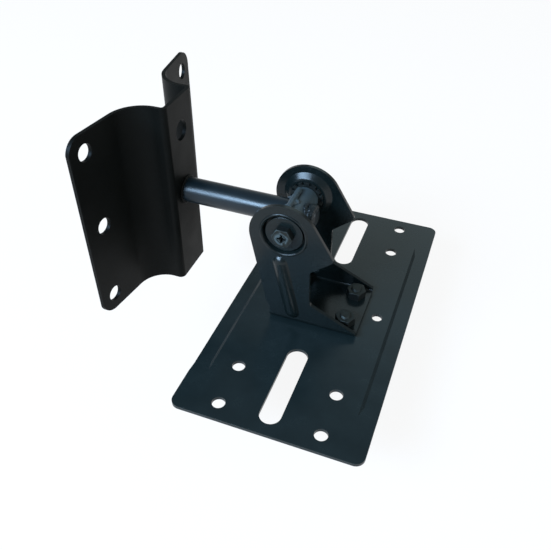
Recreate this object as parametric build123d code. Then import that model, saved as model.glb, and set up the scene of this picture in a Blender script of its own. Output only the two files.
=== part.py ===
from build123d import *
from math import acos, atan2, cos, hypot, radians, sin, tan
import os

# Speaker wall bracket
# A folded wall plate carries a round arm, the arm carries a cross bar, and a forked yoke with
# the speaker plate tilts on two screws in the bar's ends.
# X points out of the wall, Y along the wall, Z up. The origin lies on the wall, in line with
# the arm.

# Sheet steel
sheet = 2.0
bend = 1.6                      # inside radius of the yoke's folds

# Wall plate
wall_height = 108.2
wall_width = 119.0
wall_depth = 27.2               # crown's face from the wall
crown_half = 14.8               # flanks' outer faces from the middle
wing_sweep = 5.8                # a wing's line meets the flank's this far off the wall
crown_bend = 1.2                # inside radius
wing_bend = 15.2                # a wing sweeps into its flank with this radius at the front
wall_corner = 9.0
wall_hole_r = 4.5
corner_hole_in = 10.2           # corner holes from the wings' outer edges
corner_hole_down = 9.8          # and from the top and bottom edges
middle_hole_in = 12.6
middle_hole_z = 0.4
crown_hole_r = 5.5
crown_hole_down = 18.1

# Arm and cross bar
arm_reach = 64.6                # from the crown's face to the pivot
arm_r = 7.0
spigot_r = 5.0                  # both ends of the arm are turned down to this
bar_r = 7.0
tail_stand = 4.2                # arm's tail beyond the cross bar
tail_bare = 1.0                 # and beyond its weld bead
tail_chamfer = 0.8
bar_chamfer = 0.6
bead = 2.0                      # size of the weld beads on the cross bar
root_bead = 1.3                 # and of the one on the crown
bead_bulge = 0.62               # how far a bead's face bulges, as a share of its size
tap_bottom = 0.5                # tapped holes run on behind the screws' tips
slip = 0.05                     # radial clearance of shanks and spigots

# Speaker plate
pivot_height = 59.9             # pivot above the plate's upper face
plate_forward = 17.5            # plate's centre from the pivot, away from the wall
plate_length = 193.0            # along Y
plate_width = 100.0
plate_corner = 5.0
plate_hole_r = 3.45
plate_hole_in = 23.2            # holes from the long edges
plate_hole_ends = (9.6, 35.2)   # and from the short edges
side_hole_r = 2.9
side_hole_in = 17.3
slot_r = 5.65
slot_run = 40.1                 # between the centres of a slot's two round ends
slot_end = 12.0                 # outer one of these from the short edge
strip_drop = 1.0                # the long edges are pressed down by this
strip_wide = 9.7                # width of a pressed strip at the plate's level
strip_slope = 1.7               # a strip's long walls run in by this
strip_run_out = 7.0             # and its end walls by this
strip_end = 22.5                # strip's end from the short edge
strip_corner = 4.0

# Yoke, in sizes from the pivot unless said
yoke_width = 42.0               # over both ears
floor_half = 25.1               # floor's half length, under the middle of the plate
head_r = 18.8
head_drop = 1.3                 # head's centre below the pivot
beak_x = 27.5
beak_drop = 9.9
throat_x = 15.0
throat_drop = 20.4
neck_x = 15.5
neck_foot = 16.5                # these five stand above the plate's upper face
gusset_end = 3.5
back_foot = 14.4
notch_top = 13.0
notch_foot = 8.0
back_x = 10.0
notch_depth = 2.7
beak_round = 2.0
throat_round = 2.5
neck_round = 4.0
notch_round = (0.8, 1.5)        # at the notch's top and foot
boss_r = 11.6                   # pressed boss around the pivot, at the ear's outer face
boss_depth = 2.5
boss_slope = 1.0                # a boss is this much narrower at its floor
boss_back_r = 13.8              # foot of its inner side
boss_face_r = 10.6              # and the rim of its flat inner face
boss_back_round = 3.0           # radius of that rim
lip_round = 0.8                 # radius of the round lip around the recess
lip_height = 0.5
rib_r = 5.5                     # outside radius of a rib's round back
rib_sink = 3.5                  # rib's centre line under the ear's outer face
rib_top_x = -1.5
rib_top_gap = 7.1               # top end's centre from the boss
rib_foot_x = 5.9
rib_foot_height = 8.3           # foot's centre above the plate's upper face

# Fasteners
screw_r = 3.0
hex_flats = 10.0
nut_height = 5.0
nut_gap = 0.6                   # from a plate nut to the yoke's fold
screw_end = 1.0                 # plate screws stand this far out of their nuts
plate_screw_x = 16.8
sunk_head_r = 5.0
screw_hole_play = 0.3
pivot_screw_gap = 2.7           # from a pivot screw's tip to the arm's tail
pivot_head_height = 4.0
hex_crown = 0.2                 # a hexagon's top circle is this much inside its flats
recess_wide = 4.6               # driver recess
recess_blade = 1.0
pivot_recess_depth = 2.0
sunk_recess_depth = 1.6
washer_in = 0.3                 # a pivot washer ends this far inside its recess's floor
washer_edge = 0.3
washer_thick = 1.6
tooth_washer_thick = 1.0
tooth_washer_in = 1.2           # its teeth end this far inside the boss's floor
tooth_count = 14
tooth_gap = 1.5
tooth_depth = 1.6

# Places that several pieces share
pivot_x = wall_depth + arm_reach
plate_x = pivot_x + plate_forward
plate_top = -pivot_height
plate_bottom = plate_top - sheet
floor_top = plate_top + sheet
ear_out = yoke_width / 2
boss_out = ear_out - boss_depth             # floor of a boss's recess
boss_in = boss_out - sheet                  # a boss's flat inner face
boss_floor_r = boss_r - boss_slope
washer_r = boss_floor_r - washer_in
bar_half = boss_in - tooth_washer_thick
head_seat = boss_out + washer_thick
pivot_screw_tip = spigot_r + pivot_screw_gap
pivot_screw_length = head_seat - pivot_screw_tip
tail_end = pivot_x + bar_r + tail_stand
plate_screw_y = ear_out - sheet - bend - nut_gap - hex_flats / 2
strip_top_x = plate_width / 2 - strip_wide
strip_half = plate_length / 2 - strip_end


def drilled(radius, length, place, along="Z"):
    """A round rod or drill of this length, centred on a place."""
    turns = {"X": Rot(0, 90, 0), "Y": Rot(90, 0, 0), "Z": Rot(0, 0, 0)}
    return Pos(*place) * turns[along] * Cylinder(radius, length)


def turned(outline):
    """Solid of revolution about Y from points of radius and Y."""
    face = make_face(Polyline(*outline, close=True))
    return revolve(face, Axis.Y, 360)


def on_pivot(solid, side):
    """The same solid on the pivot, for the ear on this side."""
    placed = solid if side > 0 else mirror(solid, Plane.XZ)
    return Pos(pivot_x, 0, 0) * placed


def hexagon(height, radius_inside=0.0):
    """Hexagon block along Z from 0, its corners rounded off by a cone at the top."""
    across_corners = hex_flats / cos(radians(30))
    block = extrude(RegularPolygon(across_corners / 2, 6), height)
    top_r = hex_flats / 2 - hex_crown
    block &= Pos(0, 0, height / 2) * Cone(top_r + height * tan(radians(60)), top_r, height)
    if radius_inside:
        block -= Cylinder(radius_inside, 3 * height)
    return block


def cross_recess(depth):
    """Cross-shaped driver recess, cut down from the XY plane."""
    blade = Box(recess_wide, recess_blade, 2 * depth)
    middle = Pos(0, 0, -depth / 2) * Cone(0.3 * recess_blade, 1.5 * recess_blade, depth)
    return blade + Rot(0, 0, 90) * blade + middle


# Wall plate: one sheet folded to a hat, with tight bends at the crown and wide sweeps to the
# wings. The wings lean off the wall and spring flat when the screws are tightened.
def wall_plate():
    front = [
        (sheet, -wall_width / 2),
        (sheet + wing_sweep, -crown_half),
        (wall_depth, -crown_half),
        (wall_depth, crown_half),
        (sheet + wing_sweep, crown_half),
        (sheet, wall_width / 2),
    ]
    radii = [wing_bend, crown_bend + sheet, crown_bend + sheet, wing_bend]
    section = offset(FilletPolyline(*front, radius=radii), sheet, side=Side.LEFT)
    plate = extrude(make_face(section), wall_height / 2, both=True)

    outline = Plane.YZ * RectangleRounded(wall_width, wall_height, wall_corner)
    plate &= extrude(outline, 2 * wall_depth, both=True)

    corner_y = wall_width / 2 - corner_hole_in
    corner_z = wall_height / 2 - corner_hole_down
    middle_y = wall_width / 2 - middle_hole_in
    for side in (-1, 1):
        for place in ((corner_y, -corner_z), (middle_y, middle_hole_z), (corner_y, corner_z)):
            plate -= drilled(wall_hole_r, wall_depth, (0, side * place[0], place[1]), "X")
    crown_z = wall_height / 2 - crown_hole_down
    plate -= drilled(crown_hole_r, wall_depth, (wall_depth, 0, crown_z), "X")
    plate -= drilled(spigot_r + slip, wall_depth, (wall_depth, 0, 0), "X")
    return plate


# Arm: round bar. Its root sits in the crown, and its tail goes through the cross bar, which
# notches the arm's shoulder.
def arm():
    root = wall_depth - sheet
    shoulder = drilled(arm_r, pivot_x - wall_depth, ((pivot_x + wall_depth) / 2, 0, 0), "X")
    shoulder -= drilled(bar_r + slip, 4 * arm_r, (pivot_x, 0, 0), "Y")
    spigot = drilled(spigot_r, tail_end - root, ((tail_end + root) / 2, 0, 0), "X")
    bar = shoulder + spigot
    tips = bar.edges().filter_by(GeomType.CIRCLE).group_by(Axis.X)[-1]
    return chamfer(tips, tail_chamfer)


# Bead around the arm on the crown
def arm_root_weld():
    start = Vector(wall_depth, arm_r)
    ring = ThreePointArc(
        (wall_depth, arm_r + root_bead),
        (wall_depth + bead_bulge * root_bead, arm_r + bead_bulge * root_bead),
        (wall_depth + root_bead, arm_r),
    )
    section = make_face(Polyline(ring @ 1, start, ring @ 0) + ring)
    return revolve(section, Axis.X, 360)


# Cross bar: its cross hole takes the arm's tail, its ends are tapped for the pivot screws
def pivot_bar():
    bar = drilled(bar_r, 2 * bar_half, (pivot_x, 0, 0), "Y")
    bar = chamfer(bar.edges().filter_by(GeomType.CIRCLE), bar_chamfer)
    bar -= drilled(spigot_r + slip, 4 * bar_r, (pivot_x, 0, 0), "X")
    depth = bar_half - pivot_screw_tip + tap_bottom
    for side in (-1, 1):
        middle = side * (bar_half - depth / 2)
        bar -= drilled(screw_r + slip, depth, (pivot_x, middle, 0), "Y")
    return bar


# Bead in the corner between the arm and the cross bar
def pivot_weld():
    reach = 2 * bar_r
    place = (pivot_x - reach / 2, 0, 0)
    collar = drilled(arm_r + bead, reach, place, "X")
    collar &= drilled(bar_r + bead, 4 * bar_r, (pivot_x, 0, 0), "Y")
    collar -= drilled(arm_r, 2 * reach, place, "X")
    collar -= drilled(bar_r, 4 * bar_r, (pivot_x, 0, 0), "Y")
    return collar


# Bead around the arm's tail, on the side away from the wall
def tail_weld():
    reach = bar_r + tail_stand - tail_bare
    ring = drilled(spigot_r + bead, reach, (pivot_x + reach / 2, 0, 0), "X")
    ring -= drilled(spigot_r, 3 * reach, (pivot_x, 0, 0), "X")
    ring -= drilled(bar_r, 4 * bar_r, (pivot_x, 0, 0), "Y")
    return ring


# Pivot screw: hexagon head with a cross recess
def pivot_screw(side):
    head = Pos(0, 0, head_seat) * hexagon(pivot_head_height)
    head -= Pos(0, 0, head_seat + pivot_head_height) * cross_recess(pivot_recess_depth)
    shank = Pos(0, 0, head_seat - pivot_screw_length / 2) * Cylinder(screw_r, pivot_screw_length)
    screw = Rot(-90, 0, 0) * (head + shank)
    return on_pivot(screw, side)


# Wide plain washer, which nearly fills the boss's recess
def pivot_washer(side):
    inner = screw_r + screw_hole_play
    ring = turned([
        (inner, boss_out),
        (washer_r, boss_out),
        (washer_r, head_seat - washer_edge),
        (washer_r - washer_edge, head_seat),
        (inner, head_seat),
    ])
    return on_pivot(ring, side)


# Toothed washer between the bar's end and the boss
def tooth_washer(side):
    middle = boss_in - tooth_washer_thick / 2
    outer = boss_floor_r - tooth_washer_in
    ring = drilled(outer, tooth_washer_thick, (0, middle, 0), "Y")
    ring -= drilled(screw_r + slip, 2 * tooth_washer_thick, (0, middle, 0), "Y")
    for index in range(tooth_count):
        gap = Pos(outer, middle, 0) * Box(2 * tooth_depth, 2 * tooth_washer_thick, tooth_gap)
        ring -= Rot(0, 360 / tooth_count * index, 0) * gap
    return on_pivot(ring, side)


def ear_outline():
    """Side view of the yoke in X and Z: round head, beak, neck and gusset."""
    head = Vector(pivot_x, -head_drop)
    back = Vector(pivot_x - back_x, plate_top + back_foot)
    beak = Vector(pivot_x + beak_x, -beak_drop)
    throat = Vector(pivot_x + throat_x, -throat_drop)
    neck = Vector(pivot_x + neck_x, plate_top + neck_foot)
    notch_out = Vector(pivot_x - back_x, plate_top + notch_top)
    notch_in = Vector(pivot_x - back_x + notch_depth, plate_top + notch_foot)

    def touch(point, turn):
        """Where a tangent from a point touches the head."""
        away = point - head
        angle = atan2(away.Y, away.X) + turn * acos(head_r / hypot(away.X, away.Y))
        return head + Vector(cos(angle), sin(angle)) * head_r

    left = touch(back, -1)
    right = touch(beak, 1)
    crest = ThreePointArc(left, head + Vector(0, head_r), right)
    below = Polyline(
        right,
        beak,
        throat,
        neck,
        (plate_x + floor_half, plate_top + gusset_end),
        (plate_x + floor_half, plate_top),
        (plate_x - floor_half, plate_top),
        notch_in,
        notch_out,
        back,
        left,
    )
    side_view = make_face(crest + below)
    rounded = (
        (beak, beak_round),
        (throat, throat_round),
        (neck, neck_round),
        (notch_out, notch_round[0]),
        (notch_in, notch_round[1]),
    )
    for corner, radius in rounded:
        nearest = side_view.vertices().sort_by_distance(corner)[0]
        side_view = fillet(nearest, radius)
    return Plane.XZ * side_view


# Yoke: one sheet folded to a fork. A boss with a round lip is pressed inwards around each
# pivot hole, and a half-round rib is pressed outwards below it.
def yoke():
    top = head_r
    fork = [(-ear_out, top), (-ear_out, plate_top), (ear_out, plate_top), (ear_out, top)]
    section = offset(FilletPolyline(*fork, radius=bend + sheet), sheet, side=Side.LEFT)
    body = extrude(Plane.YZ * make_face(section), 3 * pivot_x, both=True)
    body &= extrude(ear_outline(), yoke_width, both=True)

    middle = ear_out - sheet / 2
    pad_profile = Polyline(
        (0, middle),
        (boss_back_r, middle),
        (boss_back_r, ear_out - sheet),
        (boss_face_r, boss_in),
        (0, boss_in),
        close=True,
    )
    pad_face = make_face(pad_profile)
    rim = pad_face.vertices().sort_by_distance((boss_face_r, boss_in))[0]
    pad = revolve(fillet(rim, boss_back_round), Axis.Y, 360)
    recess = [
        (0, ear_out + sheet),
        (boss_r, ear_out + sheet),
        (boss_r, ear_out),
        (boss_floor_r, boss_out),
        (0, boss_out),
    ]
    lip_middle = Pos(boss_r + lip_round, ear_out + lip_height - lip_round)
    lip = revolve(lip_middle * Circle(lip_round), Axis.Y, 360)
    for side in (-1, 1):
        body += on_pivot(lip, side)
        body += on_pivot(pad, side)
        body -= on_pivot(turned(recess), side)
        body -= drilled(screw_r + slip, 2 * boss_out, (pivot_x, side * boss_out, 0), "Y")

    top_end = Vector(pivot_x + rib_top_x, 0, -boss_r - rib_top_gap)
    foot_end = Vector(pivot_x + rib_foot_x, 0, plate_top + rib_foot_height)
    run = foot_end - top_end
    for side in (-1, 1):
        shift = Vector(0, side * (ear_out - rib_sink), 0)
        axis = Plane(origin=top_end + shift, z_dir=run)
        outside = Pos(pivot_x, side * (ear_out + sheet), 0)
        keep = outside * Box(4 * pivot_height, 3 * sheet, 4 * pivot_height)
        back, hollow = [
            axis * extrude(Circle(radius), run.length)
            + Pos(*(top_end + shift)) * Sphere(radius)
            + Pos(*(foot_end + shift)) * Sphere(radius)
            for radius in (rib_r, rib_r - sheet)
        ]
        body += back & keep
        body -= hollow

    for x in (-plate_screw_x, plate_screw_x):
        for y in (-plate_screw_y, plate_screw_y):
            hole_r = screw_r + screw_hole_play
            body -= drilled(hole_r, 4 * sheet, (plate_x + x, y, plate_top))
    return body


# Speaker plate: pressed sheet. Its long edges are pressed down between the corners, so that
# they bear on the speaker.
def speaker_plate():
    outline = RectangleRounded(plate_width, plate_length, plate_corner)
    plate = extrude(outline, -sheet)

    def strip(top, side):
        """One edge strip with sloped walls, from this level down to its drop."""
        beyond = plate_width
        levels = []
        for drop, inset, end_inset in ((0, 0, 0), (strip_drop, strip_slope, strip_run_out)):
            inner = strip_top_x + inset
            size = (beyond - inner, 2 * (strip_half - end_inset))
            middle = side * (beyond + inner) / 2
            shape = RectangleRounded(*size, strip_corner)
            levels.append(Pos(middle, 0, top - drop) * shape)
        return loft(levels)

    keep = extrude(outline, -4 * sheet)
    for side in (-1, 1):
        plate += strip(-sheet, side) & keep
        plate -= strip(0, side)

    drill = 6 * sheet
    hole_x = plate_width / 2 - plate_hole_in
    slot_y = plate_length / 2 - slot_end - slot_run / 2
    slot = Rot(0, 0, 90) * SlotCenterToCenter(slot_run, 2 * slot_r)
    for side in (-1, 1):
        for end in plate_hole_ends:
            hole_y = side * (plate_length / 2 - end)
            plate -= drilled(plate_hole_r, drill, (-hole_x, hole_y, 0))
            plate -= drilled(plate_hole_r, drill, (hole_x, hole_y, 0))
        plate -= drilled(side_hole_r, drill, (side * (plate_width / 2 - side_hole_in), 0, 0))
        plate -= extrude(Pos(0, side * slot_y, 0) * slot, drill, both=True)
    for x in (-plate_screw_x, plate_screw_x):
        for y in (-plate_screw_y, plate_screw_y):
            plate -= Pos(x, y, -sheet / 2) * Cone(sunk_head_r, sunk_head_r - sheet, sheet)
    return Pos(plate_x, 0, plate_top) * plate


# Plate screw: countersunk head flush with the plate's underside
def plate_screw(x, y):
    length = 2 * sheet + nut_height + screw_end
    head = Pos(0, 0, sheet / 2) * Cone(sunk_head_r, sunk_head_r - sheet, sheet)
    screw = head + Pos(0, 0, length / 2) * Cylinder(screw_r, length)
    screw -= Rot(180, 0, 0) * cross_recess(sunk_recess_depth)
    return Pos(plate_x + x, y, plate_bottom) * screw


# Plate nut on the yoke's floor
def plate_nut(x, y):
    return Pos(plate_x + x, y, floor_top) * hexagon(nut_height, screw_r + slip)


pieces = {
    "wall_plate": wall_plate(),
    "arm": arm(),
    "arm_root_weld": arm_root_weld(),
    "pivot_bar": pivot_bar(),
    "pivot_weld": pivot_weld(),
    "tail_weld": tail_weld(),
    "yoke": yoke(),
    "speaker_plate": speaker_plate(),
}
for name, side in (("near", -1), ("far", 1)):
    pieces["pivot_screw_" + name] = pivot_screw(side)
    pieces["pivot_washer_" + name] = pivot_washer(side)
    pieces["tooth_washer_" + name] = tooth_washer(side)
corners = [(x, y) for x in (-plate_screw_x, plate_screw_x) for y in (-plate_screw_y, plate_screw_y)]
for number, (x, y) in enumerate(corners, start=1):
    pieces[f"plate_screw_{number}"] = plate_screw(x, y)
    pieces[f"plate_nut_{number}"] = plate_nut(x, y)

os.makedirs("parts", exist_ok=True)
for name, piece in pieces.items():
    export_step(piece, f"parts/{name}.step")
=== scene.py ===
import math
import random

import bmesh
import bpy
from mathutils import Matrix, Quaternion, Vector


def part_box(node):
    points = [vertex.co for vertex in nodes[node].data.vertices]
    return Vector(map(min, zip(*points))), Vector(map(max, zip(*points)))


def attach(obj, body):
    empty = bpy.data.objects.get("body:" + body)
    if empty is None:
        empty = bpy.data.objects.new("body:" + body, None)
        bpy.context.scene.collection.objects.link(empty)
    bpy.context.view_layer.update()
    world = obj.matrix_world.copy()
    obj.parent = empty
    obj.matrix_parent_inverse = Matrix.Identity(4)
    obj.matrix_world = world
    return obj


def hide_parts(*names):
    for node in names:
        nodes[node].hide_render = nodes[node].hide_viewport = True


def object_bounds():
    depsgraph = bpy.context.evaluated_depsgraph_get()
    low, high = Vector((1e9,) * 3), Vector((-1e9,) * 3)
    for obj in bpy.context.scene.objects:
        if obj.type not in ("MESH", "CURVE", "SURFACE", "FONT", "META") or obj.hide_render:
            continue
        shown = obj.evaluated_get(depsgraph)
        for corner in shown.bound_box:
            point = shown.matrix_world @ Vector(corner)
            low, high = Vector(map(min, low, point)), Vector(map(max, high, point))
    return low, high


# Speaker wall bracket: a folded wall plate with a round arm, and on the arm's end a forked
# cradle with the speaker plate, which tilts on two screws. All in metres, X out of the wall,
# Y along the wall, Z up, from the point where the arm's line meets the wall.

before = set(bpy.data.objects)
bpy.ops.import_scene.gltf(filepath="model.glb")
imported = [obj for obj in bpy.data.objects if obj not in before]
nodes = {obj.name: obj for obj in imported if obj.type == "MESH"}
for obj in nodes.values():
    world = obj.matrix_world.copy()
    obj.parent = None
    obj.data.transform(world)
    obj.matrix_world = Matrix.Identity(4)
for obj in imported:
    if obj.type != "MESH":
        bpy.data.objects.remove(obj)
cad_box = [[float(value) for value in corner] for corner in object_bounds()]


# Camera: held in front of the bracket's free end and above it, looking down on the speaker
# plate. Its 41 mm lens on a 36 mm wide sensor keeps the plate's far end nearly as wide as
# its near end.
eye = Vector((0.17697, -0.26094, 0.19573))
aim = Vector((0.07980, 0.00049, -0.04760))
camera_roll = math.radians(0.46)

camera = bpy.data.objects.new("camera", bpy.data.cameras.new("camera"))
camera.data.sensor_fit = "HORIZONTAL"
camera.data.sensor_width = 36.0
camera.data.lens = 41.38
camera.data.clip_start = 0.005
camera.location = eye
level = (aim - eye).to_track_quat("-Z", "Y")
camera.rotation_euler = (level @ Quaternion((0, 0, 1), camera_roll)).to_euler()
bpy.context.scene.collection.objects.link(camera)
bpy.context.scene.camera = camera
bpy.context.scene.view_settings.view_transform = "Standard"


# Table and light: a pale laminate table under the bracket, and daylight from a wide window
# beside the camera, from a far one behind and from the plate's free side, in a pale room. The
# table shows as white to the eye and in reflections, and keeps the shadow.
mm = 0.001


def colour(code):
    """An sRGB hex colour as linear red, green, blue and alpha."""
    parts = [int(code[i:i + 2], 16) / 255 for i in (1, 3, 5)]
    return [c / 12.92 if c <= 0.04045 else ((c + 0.055) / 1.055) ** 2.4 for c in parts] + [1.0]


def put(tree, kind, sockets=None, **settings):
    """Adds one node: its own settings, and for each socket a value or the output to link."""
    node = tree.nodes.new("ShaderNode" + kind)
    for name, value in settings.items():
        setattr(node, name, value)
    for name, value in (sockets or {}).items():
        if isinstance(value, bpy.types.NodeSocket):
            tree.links.new(value, node.inputs[name])
        else:
            node.inputs[name].default_value = value
    return node


def empty_material(name):
    """A new material with no nodes, and its node tree."""
    material = bpy.data.materials.new(name)
    material.use_nodes = True
    material.node_tree.nodes.clear()
    return material, material.node_tree


def new_piece(name, shape, material):
    """A new object from a bmesh, shaded smooth, in this material."""
    mesh = bpy.data.meshes.new(name)
    shape.to_mesh(mesh)
    shape.free()
    mesh.materials.append(material)
    mesh.shade_smooth()
    piece = bpy.data.objects.new(name, mesh)
    bpy.context.scene.collection.objects.link(piece)
    return piece


# At the tilt's upper limit the speaker plate's free edge hangs 27.7 mm lower than at rest
table_top = cad_box[0][2] - 29 * mm
table_half = 4.0
table_grain = 4 * mm
# The share of plain white in what the eye and reflections see of the table
table_white = 0.9

# Matt laminate: a warm white with a faint grain, which takes a soft grey shadow
laminate, tree = empty_material("pale_table_laminate")
where = put(tree, "TexCoord").outputs["Object"]
grain = put(tree, "TexNoise", {"Vector": where, "Scale": 1 / table_grain, "Detail": 3.0})
tone = put(
    tree, "Mix",
    {0: grain.outputs["Fac"], 6: colour("#f0efed"), 7: colour("#f7f6f4")},
    data_type="RGBA",
)
matt = put(tree, "BsdfDiffuse", {"Color": tone.outputs[2]})
glow = put(tree, "Emission", {"Color": colour("#ffffff"), "Strength": 1.0})
ray = put(tree, "LightPath").outputs
seen = put(tree, "Math", {0: ray["Is Camera Ray"], 1: ray["Is Glossy Ray"]}, operation="MAXIMUM")
seen = put(
    tree, "Math", {0: seen.outputs[0], 1: ray["Is Transmission Ray"]}, operation="MAXIMUM",
)
share = put(tree, "Math", {0: seen.outputs[0], 1: table_white}, operation="MULTIPLY")
top = put(tree, "MixShader", {0: share.outputs[0], 1: matt.outputs[0], 2: glow.outputs[0]})
put(tree, "OutputMaterial", {"Surface": top.outputs[0]})

shape = bmesh.new()
bmesh.ops.create_grid(shape, x_segments=8, y_segments=8, size=table_half)
bmesh.ops.translate(shape, verts=shape.verts, vec=(0.1, 0, table_top))
new_piece("table", shape, laminate)

# The room: nearly white low on the walls, and a mid grey from there up to the ceiling
world = bpy.data.worlds.new("room")
world.use_nodes = True
bpy.context.scene.world = world
tree = world.node_tree
tree.nodes.clear()
aimed = put(tree, "TexCoord").outputs["Generated"]
height = put(tree, "SeparateXYZ", {"Vector": aimed}).outputs["Z"]
high = put(tree, "MapRange", {"Value": height, "From Min": 0.05, "From Max": 0.25}).outputs[0]
walls = put(
    tree, "Mix", {0: high, 6: colour("#e9eaea"), 7: colour("#8b9294")}, data_type="RGBA",
)
room = put(tree, "Background", {"Color": walls.outputs[2], "Strength": 1.0})
put(tree, "OutputWorld", {"Surface": room.outputs[0]})


def soft_light(name, direction, distance, width, height, watts, tint):
    """A soft light that hangs in this direction from the pivot and faces it."""
    lamp = bpy.data.lights.new(name, "AREA")
    lamp.shape = "RECTANGLE"
    lamp.size = width
    lamp.size_y = height
    lamp.energy = watts
    lamp.color = colour(tint)[:3]
    light = bpy.data.objects.new(name, lamp)
    away = Vector(direction).normalized()
    light.location = Vector((0.09, 0, 0)) + away * distance
    light.rotation_euler = away.to_track_quat("Z", "Y").to_euler()
    bpy.context.scene.collection.objects.link(light)


soft_light(
    "window", direction=(-0.47, -0.69, 0.53), distance=1.3, width=0.92, height=0.44,
    watts=43.0, tint="#b8dcff",
)
soft_light(
    "far_window", direction=(0.05, 0.88, 0.50), distance=2.2, width=1.4, height=1.4,
    watts=7.0, tint="#d6eef2",
)
soft_light(
    "fill", direction=(0.88, -0.20, 0.44), distance=1.6, width=1.0, height=1.0,
    watts=9.0, tint="#dcecf4",
)


# Wall plate: 2 mm sheet steel, punched and folded to a hat, then powder coated black. The
# coat is a baked polyester, and it lies round over the cut edges.
join_gap = 0.002 * mm
flat_turn = math.radians(0.6)


def powder_coat(name, dark, light, roughness, index):
    """Black powder coat on steel: clouded and slightly wavy from the spray, with dust nibs."""
    # Clouds where the spray lay thicker, which shift tone and gloss a little
    cloud_width = 14 * mm
    # Orange peel, from dimple to dimple
    peel_pitch = 1.4 * mm
    peel_depth = 0.03 * mm
    # Grit of the cured powder, drawn about five times its size so that it shows
    grit_width = 0.3 * mm
    # Dust nibs under the coat, each 0.3 mm wide, which is this share of the pitch to each side
    nib_pitch = 3.6 * mm
    nib_share = 0.045
    nib_height = 0.05 * mm

    material, tree = empty_material(name)
    where = put(tree, "TexCoord").outputs["Object"]
    cloud = put(tree, "TexNoise", {"Vector": where, "Scale": 1 / cloud_width, "Detail": 4.0})
    peel = put(
        tree, "TexNoise",
        {"Vector": where, "Scale": 1 / peel_pitch, "Detail": 2.0, "Roughness": 0.4},
    )
    grit = put(tree, "TexNoise", {"Vector": where, "Scale": 1 / grit_width, "Detail": 1.0})
    cell = put(tree, "TexVoronoi", {"Vector": where, "Scale": 1 / nib_pitch})
    nib = put(
        tree, "MapRange",
        {"Value": cell.outputs["Distance"], "From Min": nib_share, "From Max": 0.0},
    ).outputs[0]
    tone = put(
        tree, "Mix",
        {0: cloud.outputs["Fac"], 6: colour(dark), 7: colour(light)},
        data_type="RGBA",
    )
    tone = put(
        tree, "Mix", {0: nib, 6: tone.outputs[2], 7: colour("#34393c")}, data_type="RGBA",
    )
    gloss = put(
        tree, "MapRange",
        {
            "Value": cloud.outputs["Fac"], "From Min": 0.3, "From Max": 0.7,
            "To Min": roughness - 0.04, "To Max": roughness + 0.04,
        },
    )
    gloss = put(
        tree, "Math", {0: grit.outputs["Fac"], 1: 0.05, 2: gloss.outputs[0]},
        operation="MULTIPLY_ADD",
    )
    wave = put(
        tree, "Bump", {"Height": peel.outputs["Fac"], "Distance": peel_depth, "Strength": 0.5},
    )
    fine = put(
        tree, "Bump",
        {"Height": nib, "Distance": nib_height, "Strength": 0.5, "Normal": wave.outputs[0]},
    )
    coat = put(
        tree, "BsdfPrincipled",
        {
            "Base Color": tone.outputs[2], "Roughness": gloss.outputs[0], "IOR": index,
            "Normal": fine.outputs[0],
        },
    )
    put(tree, "OutputMaterial", {"Surface": coat.outputs[0]})
    return material


def finish_node(name, material, edge, sharp=32):
    """Gives a CAD node its material and rounds the edges sharper than this many degrees."""
    node = nodes[name]
    for entry in node.material_slots:
        entry.material = material
    node.modifiers.new("join", "WELD").merge_threshold = join_gap
    flat = node.modifiers.new("flat", "DECIMATE")
    flat.decimate_type = "DISSOLVE"
    flat.angle_limit = flat_turn
    rounded = node.modifiers.new("round", "BEVEL")
    rounded.width = edge
    rounded.segments = 2
    rounded.limit_method = "ANGLE"
    rounded.angle_limit = math.radians(sharp)
    rounded.miter_outer = "MITER_ARC"
    node.modifiers.new("shade", "WEIGHTED_NORMAL").weight = 60


# Matt black, on which the folds show only as soft changes of a warm black. Its IOR was matched
# to the photograph and is far under powder coat's usual 1.5, which mirrored too much of the
# white table.
# The slight warmth of this black is painted into the colour, for the warm room light the coat
# mirrors.
wall_coat = powder_coat("matt_black_powder_coat", "#060706", "#0b0c0a", 0.42, 1.16)
finish_node("wall_plate", wall_coat, 0.35 * mm)


# Arm: 14 mm round steel bar, turned down to a 10 mm tail, and welded to the wall plate's
# crown. Its black has a gloss that draws one soft bright streak of the window along the bar.
# The blue-green tint is painted into the colour, for the cool daylight the coat mirrors.
arm_coat = powder_coat("gloss_black_powder_coat", "#081318", "#0e1b21", 0.30, 1.45)
finish_node("arm", arm_coat, 0.3 * mm)


# Root weld: steel wire laid down by hand around the arm in overlapping puddles, so that the
# bead is a chain of small crescents. It has the wall plate's coat.
def weld_bead(name, node, path, radius, coat):
    """Puddles along a path of points, run together by a fine remesh and softened."""
    smallest, largest = 0.96, 1.03
    stray = 0.08 * mm
    wobble = random.Random(7)
    shape = bmesh.new()
    for point in path:
        size = radius * wobble.uniform(smallest, largest)
        puddle = bmesh.ops.create_icosphere(shape, subdivisions=2, radius=size)["verts"]
        drift = Vector([wobble.uniform(-stray, stray) for _ in range(3)])
        bmesh.ops.translate(shape, verts=puddle, vec=Vector(point) + drift)
    piece = new_piece(name, shape, coat)
    run = piece.modifiers.new("run", "REMESH")
    run.mode = "VOXEL"
    run.voxel_size = 0.24 * mm
    run.use_smooth_shade = True
    soft = piece.modifiers.new("soft", "SMOOTH")
    soft.factor = 0.5
    soft.iterations = 5
    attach(piece, "wall_side")
    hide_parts(node)


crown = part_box("wall_plate")[1].x
root_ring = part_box("arm")[1].z + 0.1 * mm
turns = [2 * math.pi * step / 30 for step in range(30)]
root_circle = [
    (crown + 0.2 * mm, root_ring * math.sin(a), root_ring * math.cos(a)) for a in turns
]
weld_bead("root_bead", "arm_root_weld", root_circle, 1.2 * mm, wall_coat)


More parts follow.
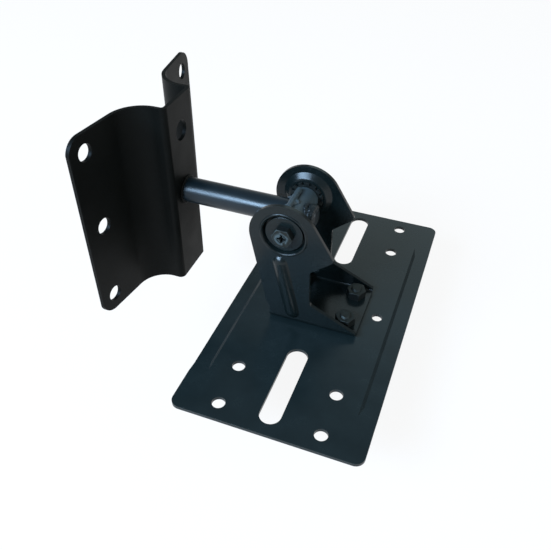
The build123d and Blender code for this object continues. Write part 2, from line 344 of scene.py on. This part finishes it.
# Cross bar: 14 mm round steel, tapped at both ends, with the arm's tail through its middle.
# Its coat was matched to the photograph as a dull dark grey with no streak: a painted sheen,
# lighter than the black coat on the rest, for the light the bar catches between the ears.
bar_coat = powder_coat("black_coat_painted_grey_sheen", "#2a3437", "#39454a", 0.45, 1.45)
finish_node("pivot_bar", bar_coat, 0.2 * mm)


# Cross bar's welds: one bead in the saddle between the arm and the bar, with a second run
# along the top of the bar that ends in a dark crease, and on the other side one that winds
# in three rings around the arm's tail.
pivot = (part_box("pivot_bar")[0].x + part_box("pivot_bar")[1].x) / 2
bar_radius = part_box("pivot_bar")[1].z
saddle_ring = bar_radius + 0.2 * mm
saddle = [
    (
        pivot - abs(saddle_ring * math.sin(a)),
        saddle_ring * math.sin(a),
        (bar_radius - 0.1 * mm) * math.cos(a),
    )
    for a in turns
]
second_run = [
    (pivot - 2.4 * mm, (1.1 * step - 6.5) * mm, bar_radius + 0.7 * mm) for step in range(16)
]
weld_bead("arm_bead", "pivot_weld", saddle + second_run, 1.8 * mm, bar_coat)

# Each ring's height over the tail, and its distance from the bar's middle. The first has no
# one distance, because it lies in the corner between the tail and the round bar.
tail_rings = ((0.3 * mm, None), (0.5 * mm, 7.9 * mm), (0.3 * mm, 9.2 * mm))
tail_radius = 5.0 * mm
puddles = 22
winding = []
for ring, (lift, reach) in enumerate(tail_rings):
    for step in range(puddles):
        a = 2 * math.pi * (step + 0.4 * ring) / puddles
        y, z = (tail_radius + lift) * math.sin(a), (tail_radius + lift) * math.cos(a)
        out = reach or math.sqrt(bar_radius ** 2 - z ** 2) + 0.2 * mm
        winding.append((pivot + out, y, z))

# A coat between the bar's painted grey sheen and the yoke's black, so partly painted sheen:
# soft dull crescents, one for each puddle
bead_coat = powder_coat("black_coat_on_weld", "#0c1315", "#161e21", 0.40, 1.40)
weld_bead("tail_bead", "tail_weld", winding, 1.5 * mm, bead_coat)


# Yoke: 2 mm sheet steel, punched, pressed with bosses and ribs, and folded to a fork. Its
# satin black mirrors the window as a broad cool crescent on the far boss, and is nearly
# black elsewhere. Its IOR was matched too, and is under powder coat's usual 1.5.
# The blue-green tint is painted into the colour, for the cool daylight the coat mirrors.
yoke_coat = powder_coat("satin_black_powder_coat_on_yoke", "#090f0f", "#0f1616", 0.22, 1.34)
finish_node("yoke", yoke_coat, 0.2 * mm)


# Speaker plate: pressed sheet steel with slots and holes, powder coated like the yoke. Its
# coat was matched a shade lighter than the yoke's: a lit copy of the same coat, painted for the
# light on the up-facing plate, and its blue-green is painted for the cool daylight it mirrors.
speaker_plate_coat = powder_coat("satin_black_powder_coat", "#101819", "#1a2324", 0.22, 1.32)
finish_node("speaker_plate", speaker_plate_coat, 0.3 * mm, sharp=26)


# Plain washers: stamped steel rings that nearly fill the recesses of the yoke's bosses. They
# have the yoke's coat, so they look like one piece with it.
for name in ("pivot_washer_near", "pivot_washer_far"):
    finish_node(name, yoke_coat, 0.2 * mm)


# Nuts and toothed washers: zinc plated steel with a black passivation, pressed and stamped.
# The plating gives the eye a dull dark metal, mottled where it is pitted.
pit_width = 2 * mm
pit_depth = 0.02 * mm
black_zinc, tree = empty_material("black_passivated_zinc")
where = put(tree, "TexCoord").outputs["Object"]
mottle = put(tree, "TexNoise", {"Vector": where, "Scale": 1 / pit_width, "Detail": 3.0})
tone = put(
    tree, "Mix",
    {0: mottle.outputs["Fac"], 6: colour("#272a2a"), 7: colour("#404442")},
    data_type="RGBA",
)
gloss = put(
    tree, "MapRange",
    {
        "Value": mottle.outputs["Fac"], "From Min": 0.3, "From Max": 0.7,
        "To Min": 0.50, "To Max": 0.62,
    },
)
pits = put(
    tree, "Bump", {"Height": mottle.outputs["Fac"], "Distance": pit_depth, "Strength": 0.5},
)
metal = put(
    tree, "BsdfPrincipled",
    {
        "Base Color": tone.outputs[2], "Metallic": 1.0, "Roughness": gloss.outputs[0],
        "Normal": pits.outputs[0],
    },
)
put(tree, "OutputMaterial", {"Surface": metal.outputs[0]})
for name in sorted(nodes):
    if name.startswith("tooth_washer") or name.startswith("plate_nut"):
        finish_node(name, black_zinc, 0.12 * mm)


# Screws: M6 steel with a rolled thread, in the nuts' black zinc. Two hexagon screws with a
# cross recess hold the ears to the cross bar, and four countersunk ones hold the speaker
# plate to the yoke.
thread_crest = 2.95 * mm
thread_root = 2.42 * mm
thread_pitch = 1.0 * mm
thread_tip = 2.3 * mm


def threaded_screw(name, body, seat, tip, along):
    """The node's head, and from its seat to its tip a rolled thread for the plain shank."""
    around, rings_a_turn = 36, 8
    # How steeply a flank rises over one pitch, and how much of the root stays flat
    flank, root_flat = 2.6, 0.15
    shape = bmesh.new()
    shape.from_mesh(nodes[name].data)
    bmesh.ops.remove_doubles(shape, verts=shape.verts, dist=join_gap)
    everything = shape.verts[:] + shape.edges[:] + shape.faces[:]
    bmesh.ops.bisect_plane(
        shape, geom=everything, plane_co=seat, plane_no=along, clear_outer=True,
    )
    bmesh.ops.dissolve_limit(
        shape, angle_limit=flat_turn, verts=shape.verts[:], edges=shape.edges[:],
    )
    length = (tip - seat).length
    turned = along.to_track_quat("Z", "Y").to_matrix().to_4x4()
    place = Matrix.Translation(seat) @ turned
    steps = round(length / thread_pitch * rings_a_turn)
    rings = []
    for level in range(steps + 1):
        height = length * level / steps
        ring = []
        for part in range(around):
            phase = (height / thread_pitch - part / around) % 1.0
            ridge = min(max(flank * (0.5 - abs(phase - 0.5)) - root_flat, 0.0), 1.0)
            radius = thread_root + (thread_crest - thread_root) * ridge
            radius = min(radius, thread_tip + (length - height))
            angle = 2 * math.pi * part / around
            spot = Vector((radius * math.cos(angle), radius * math.sin(angle), height))
            ring.append(shape.verts.new(place @ spot))
        rings.append(ring)
    for low, high in zip(rings, rings[1:]):
        for part in range(around):
            after = (part + 1) % around
            shape.faces.new((low[part], low[after], high[after], high[part]))
    shape.faces.new(rings[-1])
    shape.faces.new(rings[0][::-1])
    piece = new_piece(name + "_threaded", shape, black_zinc)
    rounded = piece.modifiers.new("round", "BEVEL")
    rounded.width = 0.06 * mm
    rounded.segments = 2
    rounded.limit_method = "ANGLE"
    rounded.angle_limit = math.radians(50)
    piece.modifiers.new("shade", "WEIGHTED_NORMAL").weight = 100
    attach(piece, body)
    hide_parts(name)


seat = max(abs(corner.y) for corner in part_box("pivot_washer_near"))
for side, name in ((-1, "pivot_screw_near"), (1, "pivot_screw_far")):
    tip = min(abs(corner.y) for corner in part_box(name))
    threaded_screw(
        name, "wall_side", Vector((pivot, side * seat, 0)), Vector((pivot, side * tip, 0)),
        Vector((0, -side, 0)),
    )
plate_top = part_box("yoke")[0].z
for number in range(1, 5):
    name = f"plate_screw_{number}"
    low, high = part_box(name)
    middle = (low + high) / 2
    threaded_screw(
        name, "speaker_side", Vector((middle.x, middle.y, plate_top)),
        Vector((middle.x, middle.y, high.z)), Vector((0, 0, 1)),
    )
